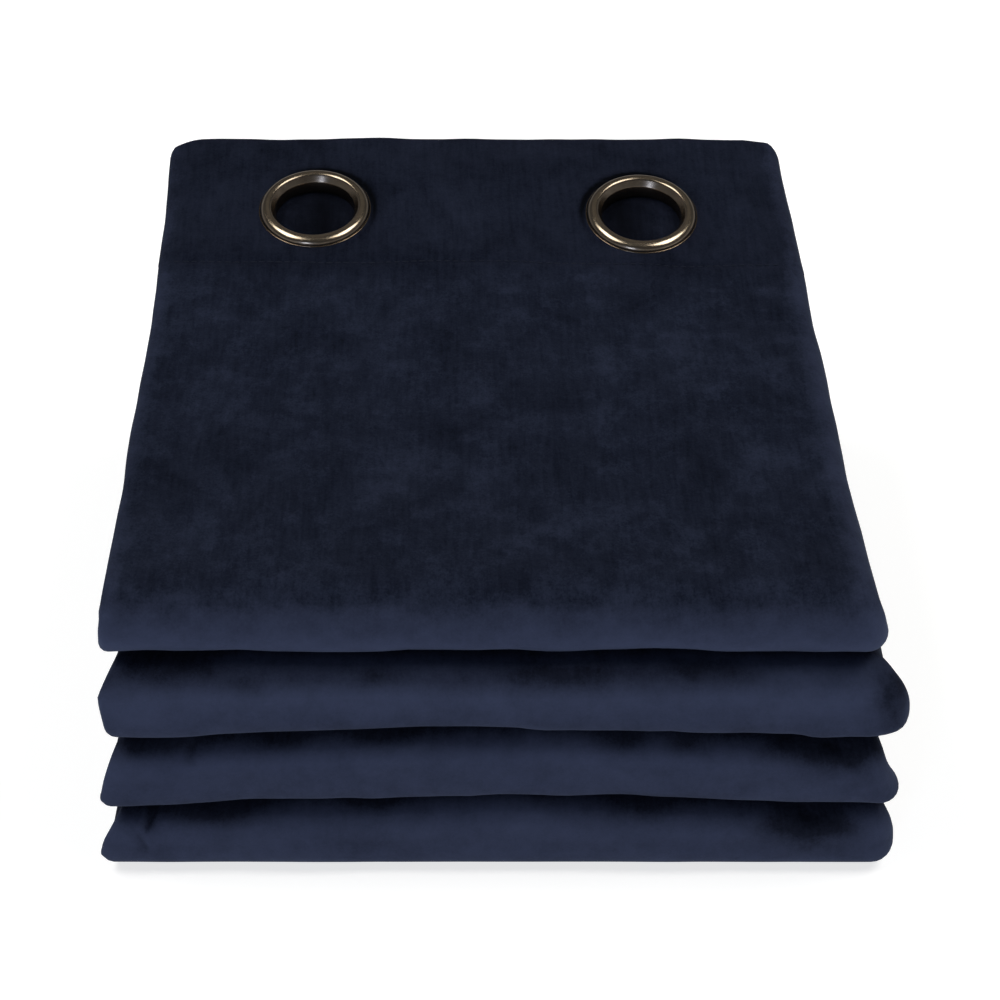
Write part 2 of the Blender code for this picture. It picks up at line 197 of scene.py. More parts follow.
# A station is one place along the drop: the middle of its four layers, the way that is square to
# them, its two sides, and where it lies on a front fold
Station = namedtuple("Station", "y z along_y along_z left right left_flare corner fold share")
NO_FOLD = -1


def smoothstep(value, low, high):
    share = np.clip((value - low) / (high - low), 0.0, 1.0)
    return share * share * (3 - 2 * share)


def run_share(y):
    return np.clip((y - RUN_FRONT_Y) / (HEADING_EDGE_Y - RUN_FRONT_Y), 0.0, 1.0)


def run_height(section, y):
    row = SECTIONS[section]
    return row.front_z + (row.back_z - row.front_z) * run_share(y) ** RISE_POWER


def run_sides(section, y):
    row, share = SECTIONS[section], run_share(y)
    waist = LEFT_WAIST * 4 * share * (1 - share)
    return (row.left_front + (row.left_back - row.left_front) * share + waist,
            row.right_front + (row.right_back - row.right_front) * share)


def run_station(section, y):
    facing = 1.0 if section % 2 == 0 else -1.0
    corner = 0.0
    if section == 0:
        corner = max(0.0, (y - SEAM_Y) / (HEADING_EDGE_Y - SEAM_Y))
    return Station(y, run_height(section, y), 0.0, facing, *run_sides(section, y), 0.0, corner,
                   NO_FOLD, 0.0)


def fold_centre(fold, side):
    return fold.reach - side * (fold.depth + HALF_STACK)


def fold_stations(fold, section, side, steps):
    """The nose that joins a section to the next one down: side -1 at the front, 1 at the back."""
    centre_y = fold_centre(fold, side)
    upper, lower = run_height(section, centre_y), run_height(section + 1, centre_y)
    centre_z, radius = (upper + lower) / 2, (upper - lower) / 2
    sides_above, sides_below = run_sides(section, centre_y), run_sides(section + 1, centre_y)
    right_skew = math.log(0.5) / math.log(fold.right_at)
    stations = []
    for step in range(1, steps):
        share = step / steps
        angle = math.pi / 2 - math.pi * share
        out = math.cos(angle) ** (2 / fold.fullness)
        up = math.copysign(abs(math.sin(angle)) ** (2 / fold.fullness), angle)
        lean = fold.droop * max(0.0, -up) * out
        blend = share * share * (3 - 2 * share)
        left, right = (a + (b - a) * blend for a, b in zip(sides_above, sides_below))
        stations.append(Station(
            centre_y + side * (fold.depth * out + lean * radius), centre_z + radius * up,
            -(out + lean), -side * up, left,
            right + fold.right_flare * math.sin(math.pi * share ** right_skew),
            fold.left_flare * min(share / fold.left_at, (1 - share) / (1 - fold.left_at)), 0.0,
            section // 2 if side < 0 else NO_FOLD, share))
    return stations


def drop_stations():
    """Every station from the heading's edge to the bottom hem."""
    breaks = [(HEADING_EDGE_Y, PATCH_BACK_Y, HEADING_BACK_STEPS),
              (PATCH_BACK_Y, PATCH_FRONT_Y, PATCH_STEPS),
              (PATCH_FRONT_Y, SEAM_Y - SEAM_HALF_STRIP, SEAM_STEPS)]
    stations = []
    for start, end, steps in breaks:
        stations += [run_station(0, y) for y in np.linspace(start, end, steps + 1)[:-1]]
    start_y = SEAM_Y - SEAM_HALF_STRIP
    for section in range(len(SECTIONS)):
        at_front = section % 2 == 0
        last = section == len(SECTIONS) - 1
        if last:
            end_y = BOTTOM_HEM_Y
        else:
            fold = FRONT_FOLDS[section // 2] if at_front else BACK_FOLDS[section // 2]
            end_y = fold_centre(fold, -1 if at_front else 1)
        steps = TOP_RUN_STEPS if section == 0 else HIDDEN_RUN_STEPS
        stations += [run_station(section, y) for y in np.linspace(start_y, end_y, steps + 1)]
        if not last:
            steps = FRONT_FOLD_STEPS if at_front else BACK_FOLD_STEPS
            stations += fold_stations(fold, section, -1 if at_front else 1, steps)
        start_y = end_y
    return stations


# A thread is one place across the cloth, which runs through every station
Thread = namedtuple("Thread", "across offset normal_across normal_offset hem top")
RIGHT_FOLD = HALF_WIDTH - HALF_STACK
LOWER_FOLD = -HALF_WIDTH + INNER_OFFSET + CLOTH / 2
UPPER_FOLD = LOWER_FOLD + UPPER_FOLD_INSET


def layer_threads(points, offset, runs_right, top=False):
    normal = 1.0 if runs_right else -1.0
    return [Thread(a, offset, 0.0, normal, 0.0, top) for a in points]


def fold_threads(centre, middle, radius, start, steps):
    """A half turn clockwise round a centre, without its two end points."""
    threads = []
    for step in range(1, steps):
        angle = math.radians(start - 180.0 * step / steps)
        away = math.cos(angle), math.sin(angle)
        threads.append(Thread(centre + radius * away[0], middle + radius * away[1], *away,
                              0.0, False))
    return threads


def eyelet_across(eyelet):
    """The distance across the stack whose point is at the eyelet's X."""
    left, right = run_sides(0, eyelet.y)
    return (eyelet.x - (left + right) / 2) / stack_scale(eyelet.y)


def stack_scale(y):
    left, right = run_sides(0, y)
    return (right - left) / (2 * HALF_WIDTH)


def top_layer_points():
    """Distances across the top layer, with a block of even cells round each eyelet."""
    left, right = (eyelet_across(eyelet) for eyelet in EYELETS)
    breaks = [(UPPER_FOLD, left - PATCH_REACH, LEFT_OF_EYELETS_STEPS),
              (left - PATCH_REACH, left + PATCH_REACH, PATCH_STEPS),
              (left + PATCH_REACH, right - PATCH_REACH, BETWEEN_EYELETS_STEPS),
              (right - PATCH_REACH, right + PATCH_REACH, PATCH_STEPS),
              (right + PATCH_REACH, RIGHT_FOLD, RIGHT_OF_EYELETS_STEPS)]
    points = []
    for start, end, steps in breaks:
        points += list(np.linspace(start, end, steps + 1)[:-1])
    return points + [RIGHT_FOLD]


def across_threads():
    """The way across the cloth, from one side hem to the other."""
    hem_edge = RIGHT_FOLD - HEM_EDGE_INSET
    second = np.linspace(hem_edge, UPPER_FOLD, HIDDEN_LAYER_STEPS + 1)
    bottom = np.linspace(RIGHT_FOLD, LOWER_FOLD, BOTTOM_LAYER_STEPS + 1)
    third = np.linspace(LOWER_FOLD, hem_edge, HIDDEN_LAYER_STEPS + 1)
    threads = layer_threads(second, INNER_OFFSET, False)
    threads += fold_threads(UPPER_FOLD, LAYER_PITCH, INNER_OFFSET, -90.0, SMALL_FOLD_STEPS)
    threads += layer_threads(top_layer_points(), OUTER_OFFSET, True, top=True)
    threads += fold_threads(RIGHT_FOLD, 0.0, OUTER_OFFSET, 90.0, RIGHT_FOLD_STEPS)
    threads += layer_threads(bottom, -OUTER_OFFSET, False)
    threads += fold_threads(LOWER_FOLD, -LAYER_PITCH, INNER_OFFSET, -90.0, SMALL_FOLD_STEPS)
    threads += layer_threads(third, -INNER_OFFSET, True)
    for end in (0, -1):
        threads[end] = threads[end]._replace(hem=SIDE_HEM_EXTRA)
    return threads


def corner_inset(across):
    """How far the heading's edge falls back at its two rounded corners."""
    past = np.clip(np.abs(across) - (HALF_WIDTH - HEADING_CORNER), 0.0, HEADING_CORNER)
    return HEADING_CORNER - np.sqrt(HEADING_CORNER ** 2 - past ** 2)


def settle(x, y, z):
    """The sag of the whole stack: arched and lifted grooves, hollows at the top, slow waves."""
    arch = np.interp(z, [row.z for row in GROOVE_ARCH], [row.rise for row in GROOVE_ARCH])
    sagged = z + arch * (0.5 - (x / ARCH_HALF_SPAN) ** 2)
    for lift in LIFTS:
        gap = ((x - lift.x) / lift.reach_x) ** 2 + ((z - lift.z) / lift.reach_z) ** 2
        sagged = sagged + lift.rise * np.exp(-gap)
    weight = np.clip((z - HOLLOW_FLOOR_Z) / (HOLLOW_TOP_Z - HOLLOW_FLOOR_Z), 0.0, 1.0)
    for hollow in HOLLOWS:
        distance = (x - hollow.x) ** 2 + (y - hollow.y) ** 2
        sagged = sagged - weight * hollow.depth * np.exp(-distance / (2 * hollow.spread ** 2))
    points = np.stack([x, y, sagged], axis=-1)
    loose = smoothstep(z, STILL_Z, WAVE_FULL_Z)
    for wave in WAVES:
        turn = x / wave.length_x + y / wave.length_y + z / wave.length_z
        points[..., wave.axis] += loose * wave.reach * np.sin(2 * math.pi * turn + wave.start)
    return points


def lay_cloth(stations, threads, shift):
    """One face of the cloth at each station and thread, shifted from its middle.

    The left ends of the folds stick out fully on the outermost layer, and not on the innermost.
    """
    s = {name: np.array([getattr(row, name) for row in stations])[:, None]
         for name in ("y", "z", "along_y", "along_z", "left", "right", "left_flare", "corner")}
    t = {name: np.array([getattr(row, name) for row in threads])[None, :]
         for name in ("across", "offset", "normal_across", "normal_offset")}
    across = t["across"] + shift * t["normal_across"]
    offset = t["offset"] + shift * t["normal_offset"]
    left = s["left"] - s["left_flare"] * np.clip(0.5 + offset / (2 * OUTER_OFFSET), 0.0, 1.0)
    x = (left + s["right"]) / 2 + across / HALF_WIDTH * (s["right"] - left) / 2
    return settle(x, s["y"] + offset * s["along_y"] - s["corner"] * corner_inset(across),
                  s["z"] + offset * s["along_z"])


def lay_heading(across, y, shift):
    """One face of the top layer at any place of the top section."""
    left, right = run_sides(0, y)
    x = (left + right) / 2 + across / HALF_WIDTH * (right - left) / 2
    corner = np.maximum(0.0, (y - SEAM_Y) / (HEADING_EDGE_Y - SEAM_Y))
    return settle(x, y - corner * corner_inset(across), run_height(0, y) + OUTER_OFFSET + shift)


def inside_sides(across):
    """1 well inside the heading's two sides, and 0 at them."""
    inside = smoothstep(across, UPPER_FOLD, UPPER_FOLD + HEADING_SIDE_FADE)
    return inside * smoothstep(-across, -RIGHT_FOLD, -RIGHT_FOLD + HEADING_SIDE_FADE)


def heading_lift(across, y):
    """How fully the doubled heading lifts the top layer: 1 well inside it, 0 off it."""
    return inside_sides(across) * smoothstep(y, SEAM_Y - SEAM_EASE, SEAM_Y + SEAM_EASE / 2)


# The seam's trough: a narrow one where the thread bites, in a wide soft one
SEAM_BITE = 0.5
SEAM_BITE_WIDTH = 1.5
SEAM_SOFT = 0.5
SEAM_SOFT_WIDTH = 6.0


def seam_trough(across, y):
    bite = SEAM_BITE * np.exp(-((y - SEAM_Y) / SEAM_BITE_WIDTH) ** 2)
    soft = SEAM_SOFT * np.exp(-((y - SEAM_Y) / SEAM_SOFT_WIDTH) ** 2)
    return inside_sides(across) * (bite + soft)


def ripple(points):
    height = np.zeros(points.shape[:-1])
    for row in RIPPLES:
        turn = (points[..., 0] / row.length_x + points[..., 1] / row.length_y
                + points[..., 2] / row.length_z)
        height += row.depth * np.sin(2 * math.pi * turn + row.start)
    return height * smoothstep(points[..., 2], STILL_Z, WAVE_FULL_Z)


# The seat of each ring: the cloth lies flat below it and eases back to its own height outside
RING_RADIUS = 29.75
RING_SEAT = 0.45
SEAT_SINK = 0.15
SEAT_MARGIN = 1.0
SEAT_EASE = 9.0
PINCH_DEPTH = 0.5
PINCH_WIDTH = 2.2
RING_CHECKS = 36


def unit(vectors):
    return vectors / np.linalg.norm(vectors, axis=-1, keepdims=True)


def eyelet_frame(eyelet):
    """The ring's middle on the cloth, and its three axes, the last one square to the cloth."""
    across = eyelet_across(eyelet)
    height = CLOTH / 2 + HEADING_LIFT

    def on_cloth(right, back):
        return lay_heading(np.array(across + right), np.array(eyelet.y + back), height)

    centre = on_cloth(0.0, 0.0)
    right = unit(on_cloth(RING_RADIUS, 0.0) - on_cloth(-RING_RADIUS, 0.0))
    back = on_cloth(0.0, RING_RADIUS) - on_cloth(0.0, -RING_RADIUS)
    up = unit(np.cross(right, back))
    turns = np.linspace(0.0, 2 * math.pi, RING_CHECKS)
    rim = [on_cloth(radius * math.cos(turn), radius * math.sin(turn))
           for turn in turns for radius in (HOLE_RADIUS, RING_RADIUS)]
    highest = max(0.0, max((point - centre) @ up for point in rim))
    return centre + up * highest, right, np.cross(up, right), up


EYELET_FRAMES = {eyelet.name: eyelet_frame(eyelet) for eyelet in EYELETS}


def seat_shift(points):
    """How far each point of the heading's face moves to lie flat under the rings."""
    shift = np.zeros_like(points)
    seat_radius = RING_RADIUS + SEAT_MARGIN
    for centre, _, _, up in EYELET_FRAMES.values():
        away = points - centre
        height = away @ up
        radius = np.linalg.norm(away - height[..., None] * up, axis=-1)
        seated = 1.0 - smoothstep(radius, seat_radius, seat_radius + SEAT_EASE)
        pinch = PINCH_DEPTH * np.exp(-((radius - RING_RADIUS - PINCH_WIDTH) / PINCH_WIDTH) ** 2)
        move = seated * (RING_SEAT + SEAT_SINK - height) - pinch
        shift += move[..., None] * up
    return shift


def finish_heading(face, wrong, across, y):
    """Both faces of the top layer with the heading's lift, its seam and the rings' seats."""
    normal = unit(face - wrong)
    lift = heading_lift(across, y)
    trough = seam_trough(across, y) + ripple(face)
    face = face + normal * (HEADING_LIFT * lift - trough)[..., None]
    wrong = wrong + normal * (HEADING_UNDER_LIFT * lift - trough)[..., None]
    shift = seat_shift(face)
    return face + shift, wrong + shift


# The way round a front fold, which turns a crease's shares into lengths
NOSE_LENGTH = 66.0


def crease_depth(x, fold, share):
    """How deep the creases press in, at an X and a share of the way round a front fold."""
    depth = np.zeros(x.shape)
    for row in CREASES:
        start = np.array([row.x, row.share * NOSE_LENGTH])
        line = np.array([row.end_x, row.end_share * NOSE_LENGTH]) - start
        away_x, away_round = x - start[0], share * NOSE_LENGTH - start[1]
        along = np.clip((away_x * line[0] + away_round * line[1]) / (line @ line), 0.0, 1.0)
        gap = (away_x - along * line[0]) ** 2 + (away_round - along * line[1]) ** 2
        depth += np.where(fold == row.fold, row.depth * np.exp(-gap / row.width ** 2), 0.0)
    return depth


# Painted shadow: the pile is painted dark beside each ring, most on the side where the ring's
# shadow falls, and painted shade darkens the layer that shows through the ring
RING_PAINTED_SHADOW = 1.5
RING_PAINTED_SHADOW_GAP = 1.9
RING_PAINTED_SHADOW_WIDTH = 2.3
SHOWN_DEPTH = 3.0
SHOWN_DEPTH_END = 14.0
SHOWN_RADIUS = 27.0
SHOWN_PAINTED_SHADE = 0.9


def painted_shade_at_rings(points):
    nap = np.zeros(points.shape[:-1])
    for eyelet in EYELETS:
        centre, right, back, up = EYELET_FRAMES[eyelet.name]
        away = points - centre
        radius, depth = np.hypot(away @ right, away @ back), -(away @ up)
        turn = np.arctan2(away @ back, away @ right) - math.radians(eyelet.dark_side)
        beside = np.exp(-((radius - RING_RADIUS - RING_PAINTED_SHADOW_GAP) / RING_PAINTED_SHADOW_WIDTH) ** 2)
        # Painted shadow on the pile beside the ring, strongest on one side
        nap -= RING_PAINTED_SHADOW * beside * (0.5 + 0.5 * np.cos(turn)) ** 2 * (depth < SHOWN_DEPTH)
        shown = (depth > SHOWN_DEPTH) & (depth < SHOWN_DEPTH_END) & (radius < SHOWN_RADIUS)
        # Painted shade on the layer seen through the ring
        nap -= np.where(shown, SHOWN_PAINTED_SHADE, 0.0)
    return nap


def cloth_faces(rows, columns, is_open):
    """Quads of both faces of a grid. Points are numbered row by row, the wrong side after."""
    below = rows * columns
    faces = []
    for row in range(rows - 1):
        for column in range(columns - 1):
            if is_open(row, column):
                continue
            a = row * columns + column
            ring = [a, a + columns, a + columns + 1, a + 1]
            faces.append(ring)
            faces.append([index + below for index in reversed(ring)])
    return faces


RIM_STEPS = 4


def rounded_rim(face, wrong, first):
    """The cloth's edge all round, as points and quads between its two faces."""
    rows, columns = face.shape[:2]
    loop = [(0, c) for c in range(columns)] + [(r, columns - 1) for r in range(1, rows)]
    loop += [(rows - 1, c) for c in range(columns - 2, -1, -1)]
    loop += [(r, 0) for r in range(rows - 2, 0, -1)]
    points, below = [], rows * columns
    for row, column in loop:
        inner_row, inner_column = min(max(row, 1), rows - 2), min(max(column, 1), columns - 2)
        out = unit(face[row, column] - face[inner_row, inner_column])
        middle = (face[row, column] + wrong[row, column]) / 2
        half = (face[row, column] - wrong[row, column]) / 2
        reach = out * np.linalg.norm(half)
        for step in range(1, RIM_STEPS):
            angle = math.pi * step / RIM_STEPS
            points.append(middle + half * math.cos(angle) + reach * math.sin(angle))

    def round_edge(i):
        row, column = loop[i % len(loop)]
        start, between = row * columns + column, first + i % len(loop) * (RIM_STEPS - 1)
        return [start, *range(between, between + RIM_STEPS - 1), start + below]

    faces = []
    for i in range(len(loop)):
        here, there = round_edge(i), round_edge(i + 1)
        faces += [[there[k], here[k], here[k + 1], there[k + 1]] for k in range(RIM_STEPS)]
    return points, faces


def patch_rim(first_row, first_column):
    """Grid places round an eyelet's block, anticlockwise from its right front corner."""
    front, right = first_row + PATCH_STEPS, first_column + PATCH_STEPS
    steps = range(PATCH_STEPS)
    return ([(front - s, right) for s in steps] + [(first_row, right - s) for s in steps]
            + [(first_row + s, first_column) for s in steps]
            + [(front, first_column + s) for s in steps])


def quads_between(inner, outer):
    """Quads that join two closed rows of point numbers."""
    count = len(inner)
    return [[inner[i], outer[i], outer[(i + 1) % count], inner[(i + 1) % count]]
            for i in range(count)]


def patch_rings(eyelet, rim_across, rim_y):
    """Places on the cloth round an eyelet, ring by ring, from its hole out to its block's edge."""
    count = len(rim_across)
    turns = 2 * math.pi * np.arange(count) / count - math.pi / 4
    hole_across = eyelet_across(eyelet) + HOLE_RADIUS / stack_scale(eyelet.y) * np.cos(turns)
    hole_y = eyelet.y + HOLE_RADIUS * np.sin(turns)
    shares = [ring / PATCH_RINGS for ring in range(PATCH_RINGS)]
    return [(hole_across * (1 - share) + rim_across * share, hole_y * (1 - share) + rim_y * share)
            for share in shares]


def plain_cloth(stations, threads):
    """Both faces of the whole cloth, thicker in the hidden heading and at the side hems."""
    hem = np.array([thread.hem for thread in threads])[None, :]
    covered = np.array([not thread.top for thread in threads])[None, :]
    in_heading = np.array([station.corner > 0.0 for station in stations])[:, None]
    extra = np.where(covered & in_heading, HIDDEN_HEADING_EXTRA / 2, 0.0)
    face = lay_cloth(stations, threads, CLOTH / 2)
    wrong = lay_cloth(stations, threads, -CLOTH / 2)
    normal = unit(face - wrong)
    return face + normal * extra[..., None], wrong - normal * (extra + hem)[..., None], normal


def unfolded(middle, middle_row):
    """Where the cloth's points lie once it is spread flat: across it, and down its drop."""
    drop = np.zeros(middle.shape[:2])
    drop[1:] = np.cumsum(np.linalg.norm(np.diff(middle, axis=0), axis=-1), axis=0)
    width = np.zeros(middle.shape[1])
    width[1:] = np.cumsum(np.linalg.norm(np.diff(middle[middle_row], axis=0), axis=-1))
    return width, drop


def make_cloth():
    """The cloth's points and quads, their places on the flat cloth and how their pile stands, with
    painted light and shade.
    """
    stations, threads = drop_stations(), across_threads()
    rows, columns = len(stations), len(threads)
    top = np.array([thread.top for thread in threads])
    across = np.array([thread.across for thread in threads])
    y = np.array([station.y for station in stations])
    face, wrong, normal = plain_cloth(stations, threads)

    heading_steps = HEADING_BACK_STEPS + PATCH_STEPS + SEAM_STEPS
    heading_rows = int(np.sum(y[:heading_steps + TOP_RUN_STEPS] > HEADING_REACH_Y))
    heading = np.ix_(range(heading_rows), np.flatnonzero(top))
    grid_across, grid_y = np.meshgrid(across[top], y[:heading_rows])
    face[heading], wrong[heading] = finish_heading(
        face[heading], wrong[heading], grid_across, grid_y)

    fold = np.array([station.fold for station in stations])[:, None]
    share = np.array([station.share for station in stations])[:, None]
    dents = crease_depth(face[..., 0], fold, share) * top[None, :]
    rest = np.ones((rows, columns), bool)
    rest[heading] = False
    push = np.where(rest, ripple(face), 0.0) + dents
    face = face - normal * push[..., None]
    wrong = wrong - normal * push[..., None]

    first_top = int(np.flatnonzero(top)[0])
    lefts = [first_top + int(np.argmin(np.abs(across[top] - (eyelet_across(e) - PATCH_REACH))))
             for e in EYELETS]

    def in_block(row, column):
        return (HEADING_BACK_STEPS <= row < HEADING_BACK_STEPS + PATCH_STEPS
                and any(left <= column < left + PATCH_STEPS for left in lefts))

    points = [face.reshape(-1, 3), wrong.reshape(-1, 3)]
    count = 2 * rows * columns
    faces = cloth_faces(rows, columns, in_block)
    width, drop = unfolded((face + wrong) / 2, heading_steps)
    places = [np.stack([np.broadcast_to(width, (rows, columns)), drop], -1).reshape(-1, 2)] * 2
    # Painted shade darkens the creases' slits
    nap = nap_and_painted_light_of_cloth(face, stations, threads) - CREASE_PAINTED_SHADE * np.maximum(dents, 0.0)
    naps_and_painted_light = [nap.reshape(-1)] * 2

    for eyelet, left in zip(EYELETS, lefts):
        rim = np.array(patch_rim(HEADING_BACK_STEPS, left))
        rings = []
        for ring_across, ring_y in patch_rings(eyelet, across[rim[:, 1]], y[rim[:, 0]]):
            both = finish_heading(lay_heading(ring_across, ring_y, CLOTH / 2),
                                  lay_heading(ring_across, ring_y, -CLOTH / 2), ring_across, ring_y)
            points += both
            place = np.stack([np.interp(ring_across, across[top], width[top]),
                              np.interp(-ring_y, -y[:heading_rows], drop[:heading_rows, left])], -1)
            places += [place] * 2
            # Painted shadow beside the rings and painted shade through them
            naps_and_painted_light += [painted_shade_at_rings(both[0]) - HEADING_SHADE] * 2
            rings.append((range(count, count + len(rim)),
                          range(count + len(rim), count + 2 * len(rim))))
            count += 2 * len(rim)
        edge = (rim[:, 0] * columns + rim[:, 1]).tolist()
        rings.append((edge, [number + rows * columns for number in edge]))
        for inner, outer in zip(rings, rings[1:]):
            faces += quads_between(inner[0], outer[0]) + quads_between(outer[1], inner[1])
        hole, hole_below = rings[0]
        faces += quads_between(hole_below, hole)
    rim_points, rim_faces = rounded_rim(face, wrong, count)
    points.append(np.array(rim_points))
    places.append(np.zeros((len(rim_points), 2)))
    naps_and_painted_light.append(np.zeros(len(rim_points)))
    faces += rim_faces
    return np.concatenate(points), faces, np.concatenate(places), np.concatenate(naps_and_painted_light)


# Where the pile is pressed down and darker beside the grooves of the front folds, with painted
# shade there too. A place is again an X and a share of the way round the fold. Below zero the pile
# stands up.
PressedAndShaded = namedtuple("PressedAndShaded", "fold x share reach_x reach_share strength")
PRESSED_AND_SHADED = [
    PressedAndShaded(1, -153.0, 0.10, 26.0, 0.12, 0.7),
    PressedAndShaded(1, -116.0, 0.28, 9.0, 0.07, 0.25),
    PressedAndShaded(1, -55.0, 0.20, 14.0, 0.08, 0.3),
    PressedAndShaded(1, 32.0, 0.18, 24.0, 0.11, 0.6),
    PressedAndShaded(1, 96.0, 0.17, 22.0, 0.09, 0.6),
    PressedAndShaded(1, 150.0, 0.22, 38.0, 0.12, -0.35),
    PressedAndShaded(1, 187.0, 0.36, 9.0, 0.20, 0.9),
    PressedAndShaded(2, -163.0, 0.20, 16.0, 0.10, 0.8),
    PressedAndShaded(2, -100.0, 0.20, 14.0, 0.08, 0.6),
    PressedAndShaded(2, -58.0, 0.18, 18.0, 0.08, 0.5),
    PressedAndShaded(2, 60.0, 0.22, 10.0, 0.08, 0.7),
    PressedAndShaded(2, 90.0, 0.24, 8.0, 0.08, 0.7),
    PressedAndShaded(2, 162.0, 0.27, 28.0, 0.13, 1.2),
    PressedAndShaded(3, -140.0, 0.22, 24.0, 0.10, 0.9),
    PressedAndShaded(3, -60.0, 0.17, 14.0, 0.07, 0.6),
    PressedAndShaded(3, 74.0, 0.20, 14.0, 0.10, 0.7),
    PressedAndShaded(3, 152.0, 0.32, 22.0, 0.16, 1.35),
]
HEADING_SHADE = 0.22
# Painted shade in the creases' slits
CREASE_PAINTED_SHADE = 0.40
# Painted sheen along the top layer's two folded side edges
EDGE_PAINTED_SHEEN = 0.55
EDGE_REACH = 7.0

# How far each front fold opens the pile on its way round, with painted light: its front, which
# faces the light, is painted lighter than its shaded upper half and underside
OpeningAndPaintedLight = namedtuple("OpeningAndPaintedLight", "share nap")
OPENINGS_AND_PAINTED_LIGHT = [
    [OpeningAndPaintedLight(0.08, 0.0), OpeningAndPaintedLight(0.25, 0.15), OpeningAndPaintedLight(0.35, 0.55), OpeningAndPaintedLight(0.45, 0.8),
     OpeningAndPaintedLight(0.55, 1.05), OpeningAndPaintedLight(0.62, 1.2), OpeningAndPaintedLight(1.0, 0.0)],
    [OpeningAndPaintedLight(0.0, 0.0), OpeningAndPaintedLight(0.10, 0.65), OpeningAndPaintedLight(0.18, 0.45), OpeningAndPaintedLight(0.25, 0.5),
     OpeningAndPaintedLight(0.37, 1.12), OpeningAndPaintedLight(0.43, 1.1), OpeningAndPaintedLight(0.54, 0.88), OpeningAndPaintedLight(1.0, 0.0)],
    [OpeningAndPaintedLight(0.14, 0.0), OpeningAndPaintedLight(0.20, 0.4), OpeningAndPaintedLight(0.27, 0.8), OpeningAndPaintedLight(0.36, 1.15),
     OpeningAndPaintedLight(0.45, 0.92), OpeningAndPaintedLight(0.56, 0.85), OpeningAndPaintedLight(1.0, 0.0)],
    [OpeningAndPaintedLight(0.12, 0.0), OpeningAndPaintedLight(0.20, 0.5), OpeningAndPaintedLight(0.27, 0.76), OpeningAndPaintedLight(0.40, 0.95),
     OpeningAndPaintedLight(0.50, 0.8), OpeningAndPaintedLight(0.60, 0.9), OpeningAndPaintedLight(1.0, 0.0)],
]


def nap_and_painted_light_of_cloth(face, stations, threads):
    """How the pile stands, with painted light and shade: below 0 where it is pressed flat or
    painted in shade, near 1 where a fold opens it and is painted lit.
    """
    x = face[..., 0]
    nap = np.zeros(x.shape)
    fold = np.array([station.fold for station in stations])[:, None]
    share = np.array([station.share for station in stations])[:, None]
    for index, stops in enumerate(OPENINGS_AND_PAINTED_LIGHT):
        # Painted light on the fold's lit front, along with the opening pile
        opened_and_lit = np.interp(share, [stop.share for stop in stops], [stop.nap for stop in stops])
        nap += np.where(fold == index, opened_and_lit, 0.0)
    # Pressed pile with painted shade beside the grooves
    for row in PRESSED_AND_SHADED:
        gap = ((x - row.x) / row.reach_x) ** 2 + ((share - row.share) / row.reach_share) ** 2
        nap -= np.where(fold == row.fold, row.strength * np.exp(-gap), 0.0)
    heading = smoothstep(face[..., 1], SEAM_Y - SEAM_EASE, SEAM_Y) * (fold == NO_FOLD)
    across = np.array([thread.across for thread in threads])[None, :]
    past = np.maximum(UPPER_FOLD - across, across - RIGHT_FOLD)
    on_top = np.arange(len(stations))[:, None] <= np.flatnonzero(fold == 0)[-1]
    # Painted sheen where the top layer curves down at its sides
    sheen_at_edge = smoothstep(past, -EDGE_REACH, EDGE_REACH) * on_top * (1 - share)
    return nap - HEADING_SHADE * heading + EDGE_PAINTED_SHEEN * sheen_at_edge + painted_shade_at_rings(face)


SHARP_ANGLE = 60.0


def mesh_object(name, points, faces):
    mesh = bpy.data.meshes.new(name)
    mesh.from_pydata([tuple(p) for p in np.asarray(points, float) * MM], [], faces)
    mesh.shade_smooth()
    mesh.set_sharp_from_angle(angle=math.radians(SHARP_ANGLE))
    piece = bpy.data.objects.new(name, mesh)
    bpy.context.scene.collection.objects.link(piece)
    return piece


class Shade:
    """A value in a material's node tree, on which plain arithmetic adds Math nodes."""

    def __init__(self, tree, socket=None):
        self.tree = tree
        self.socket = socket

    def node(self, kind, settings, values, output=0):
        """A node of any kind: its settings first, then the values or links of its sockets."""
        made = self.tree.nodes.new(kind)
        for name, value in settings.items():
            setattr(made, name, value)
        for key, value in values.items():
            if isinstance(value, Shade):
                self.tree.links.new(value.socket, made.inputs[key])
            else:
                made.inputs[key].default_value = value
        return Shade(self.tree, made.outputs[output])

    def math(self, operation, first, second=0.0):
        return self.node("ShaderNodeMath", {"operation": operation}, {0: first, 1: second})

    def __add__(self, other):
        return self.math("ADD", self, other)

    __radd__ = __add__

    def __mul__(self, other):
        return self.math("MULTIPLY", self, other)

    __rmul__ = __mul__

    def __sub__(self, other):
        return self.math("SUBTRACT", self, other)

    def __rsub__(self, other):
        return self.math("SUBTRACT", other, self)

    def clamped(self):
        return self.node("ShaderNodeClamp", {}, {"Value": self})


def new_material(name):
    made = bpy.data.materials.new(name)
    made.use_nodes = True
    tree = made.node_tree
    return made, tree.nodes["Principled BSDF"], Shade(tree)


def mix_colours(shade, share, first, second):
    return shade.node("ShaderNodeMix", {"data_type": "RGBA"}, {0: share, 6: first, 7: second}, 2)


